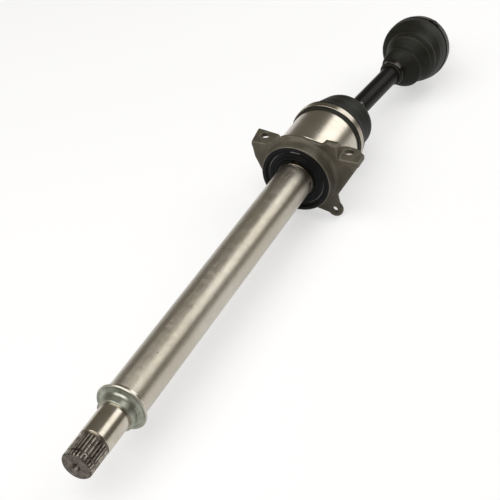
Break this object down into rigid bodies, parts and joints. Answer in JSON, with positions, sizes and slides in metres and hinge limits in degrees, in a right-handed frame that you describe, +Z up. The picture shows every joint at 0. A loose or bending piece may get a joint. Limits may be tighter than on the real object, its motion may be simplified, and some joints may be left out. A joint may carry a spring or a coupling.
{
  "type": "constant velocity drive axle",
  "caption": "Front drive axle with a splined intermediate shaft, support bearing and bracket, a sliding tripod joint and a fixed ball joint, each under a rubber boot.",
  "frame": {"origin": "centre of the gearbox stub's end face, on the shaft axis", "axes": "+X along the intermediate shaft towards the outer joint, +Z up, square to the bracket's foot face, +Y across the foot holes"},
  "size_m": [0.923, 0.1404, 0.1015],
  "materials": {
    "dark_steel": "oxidised, machined",
    "ground_steel": "satin ground",
    "bearing_steel": "ground and polished",
    "zinc_sheet": "zinc-plated sheet",
    "cast_bracket": "as cast",
    "black_paint": "satin black",
    "boot_rubber": "matte",
    "seal_rubber": "matte",
    "band_steel": "bright band",
    "cage_brass": "machined"
  },
  "bodies": {
    "bracket": {"support_bracket": "cast_bracket", "bearing_outer_ring": "bearing_steel", "bearing_circlip": "black_paint", "bearing_dust_ring": "seal_rubber", "bearing_seal_front": "seal_rubber", "bearing_seal_rear": "seal_rubber"},
    "ball_cage": {"bearing_cage": "cage_brass", "bearing_balls": "bearing_steel"},
    "shaft": {"splined_stub": "dark_steel", "stub_circlip": "dark_steel", "oil_deflector": "zinc_sheet", "shaft_tube": "ground_steel", "bearing_inner_ring": "bearing_steel", "shaft_snap_ring": "bearing_steel", "joint_housing": "ground_steel", "inner_boot": "boot_rubber", "inner_boot_clamp_large": "band_steel"},
    "roller_1": {"outer_roller_1": "bearing_steel"},
    "sleeve_1": {"inner_roller_1": "bearing_steel", "needle_rollers_1": "bearing_steel"},
    "bar": {"tripod_spider": "dark_steel", "inner_roller_2": "bearing_steel", "inner_roller_3": "bearing_steel", "needle_rollers_2": "bearing_steel", "needle_rollers_3": "bearing_steel", "roller_retainers": "bearing_steel", "spider_circlip": "bearing_steel", "bar_shaft": "black_paint", "inner_boot_clamp_small": "band_steel", "inner_race": "bearing_steel", "race_circlip": "bearing_steel", "outer_boot_clamp_small": "band_steel"},
    "roller_2": {"outer_roller_2": "bearing_steel"},
    "roller_3": {"outer_roller_3": "bearing_steel"},
    "joint_cage": {"outer_cage": "dark_steel", "joint_balls": "bearing_steel"},
    "hub": {"outer_housing": "dark_steel", "outer_boot": "boot_rubber", "outer_boot_clamp_large": "black_paint"}
  },
  "joints": [
    {"name": "shaft_spin", "type": "hinge", "parent": "bracket", "child": "shaft", "pos_m": [0.492, 0, 0], "axis": [1, 0, 0], "continuous": true},
    {"name": "bearing_cage_spin", "type": "hinge", "parent": "bracket", "child": "ball_cage", "pos_m": [0.492, 0, 0], "axis": [1, 0, 0], "continuous": true},
    {"name": "inner_plunge", "type": "slide", "parent": "shaft", "child": "roller_1", "axis": [1, 0, 0], "range_m": [-0.012, 0.012]},
    {"name": "inner_tilt", "type": "hinge", "parent": "roller_1", "child": "sleeve_1", "pos_m": [0.5545, 0, 0.024], "axis": [0, 1, 0], "range_deg": [-15, 15], "deforming": ["inner_boot"]},
    {"name": "inner_yaw", "type": "hinge", "parent": "sleeve_1", "child": "bar", "pos_m": [0.5545, 0, 0], "axis": [0, 0, 1], "range_deg": [-13.4, 24.6]},
    {"name": "roller_2_spin", "type": "hinge", "parent": "bar", "child": "roller_2", "pos_m": [0.55247, -0.02068, -0.012], "axis": [-0.0845, -0.8619, -0.5], "continuous": true},
    {"name": "roller_3_spin", "type": "hinge", "parent": "bar", "child": "roller_3", "pos_m": [0.55653, 0.02068, -0.012], "axis": [0.0845, 0.8619, -0.5], "continuous": true},
    {"name": "outer_bend", "type": "hinge", "parent": "bar", "child": "joint_cage", "pos_m": [0.81525, -0.02557, 0], "axis": [0.0884, 0.902, 0.4226], "range_deg": [-30.5, 10.5]},
    {"name": "hub_bend", "type": "hinge", "parent": "joint_cage", "child": "hub", "pos_m": [0.81525, -0.02557, 0], "axis": [0.0884, 0.902, 0.4226], "range_deg": [-30.5, 10.5], "deforming": ["outer_boot"]}
  ],
  "couplings": [
    {"joint": "bearing_cage_spin", "follows": "shaft_spin", "ratio": 0.4275},
    {"joint": "hub_bend", "follows": "outer_bend", "ratio": 1}
  ]
}
